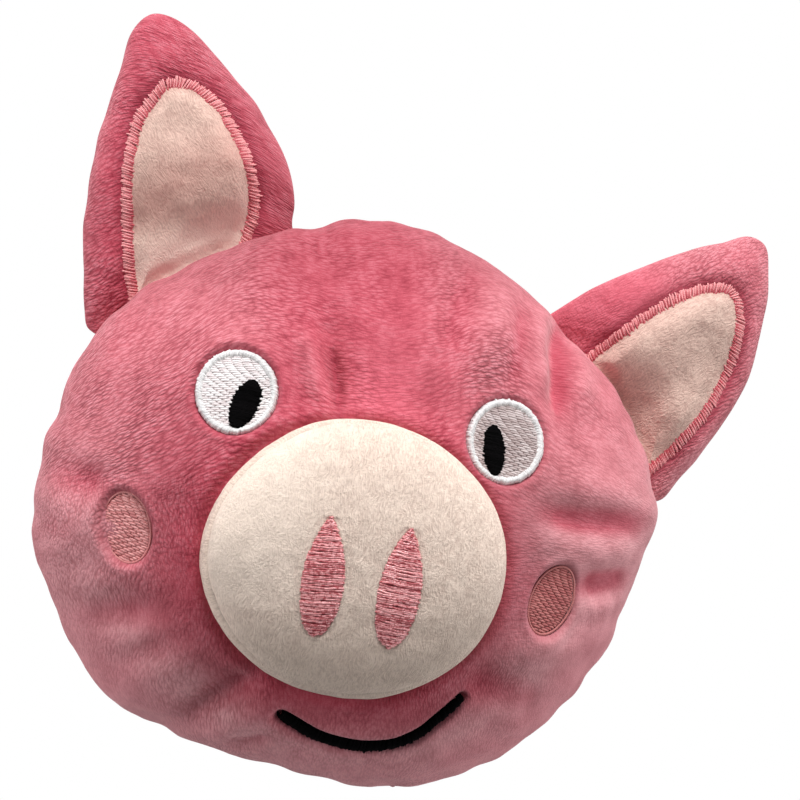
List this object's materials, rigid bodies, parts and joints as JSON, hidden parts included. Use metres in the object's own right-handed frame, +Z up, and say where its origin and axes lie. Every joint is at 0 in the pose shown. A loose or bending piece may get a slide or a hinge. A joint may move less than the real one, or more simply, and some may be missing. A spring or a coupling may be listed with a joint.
{
  "type": "stuffed cat toy",
  "caption": "Round stuffed pig-face cushion cat toy with a raised snout, embroidered features, sewn-in plush ears and a valerian sachet inside.",
  "frame": {"origin": "centre of the flat patch on the back that the toy rests on", "axes": "+Z up out of the face, +Y towards the top of the head between the ears, +X towards the ear on the right of the face as seen"},
  "size_m": [0.087, 0.0909, 0.0453],
  "materials": {
    "plush": "short-pile pink velour",
    "velour": "pale brushed felt",
    "lining": "pale brushed felt",
    "pink_thread": "satin-stitched rayon thread",
    "white_thread": "fill-stitched rayon thread",
    "black_thread": "satin-stitched rayon thread",
    "wadding": "loose polyester wadding",
    "sachet": "thin non-woven cloth",
    "valerian": "dried, chopped root"
  },
  "bodies": {
    "head": {"head_front_panel": "plush", "head_back_panel": "plush", "head_seam_thread": "pink_thread", "closing_thread": "pink_thread", "wadding_front": "wadding", "wadding_back": "wadding", "sachet_front": "sachet", "sachet_back": "sachet", "valerian_root": "valerian", "eye_white_left": "white_thread", "eye_rim_left": "white_thread", "pupil_left": "black_thread", "cheek_left": "pink_thread", "cheek_rim_left": "pink_thread", "nostril_left": "pink_thread", "eye_white_right": "white_thread", "eye_rim_right": "white_thread", "pupil_right": "black_thread", "cheek_right": "pink_thread", "cheek_rim_right": "pink_thread", "nostril_right": "pink_thread", "mouth": "black_thread", "snout_front_panel": "velour", "snout_side_band": "velour", "snout_seam_thread": "white_thread", "snout_filling": "wadding"},
    "ear_left": {"ear_front_panel_left": "plush", "ear_back_panel_left": "plush", "ear_wadding_left": "wadding", "ear_lining_left": "lining", "ear_border_left": "pink_thread"},
    "ear_right": {"ear_front_panel_right": "plush", "ear_back_panel_right": "plush", "ear_wadding_right": "wadding", "ear_lining_right": "lining", "ear_border_right": "pink_thread"}
  },
  "joints": [
    {"name": "ear_left_flop", "type": "hinge", "parent": "head", "child": "ear_left", "pos_m": [-0.02661, 0.02792, 0.0155], "axis": [0.7784, 0.6278, 0], "range_deg": [-60, 50], "stiffness_Nm_per_rad": 0.01},
    {"name": "ear_right_flop", "type": "hinge", "parent": "head", "child": "ear_right", "pos_m": [0.03391, 0.02105, 0.0155], "axis": [0.6223, -0.7828, 0], "range_deg": [-60, 50], "stiffness_Nm_per_rad": 0.01}
  ]
}
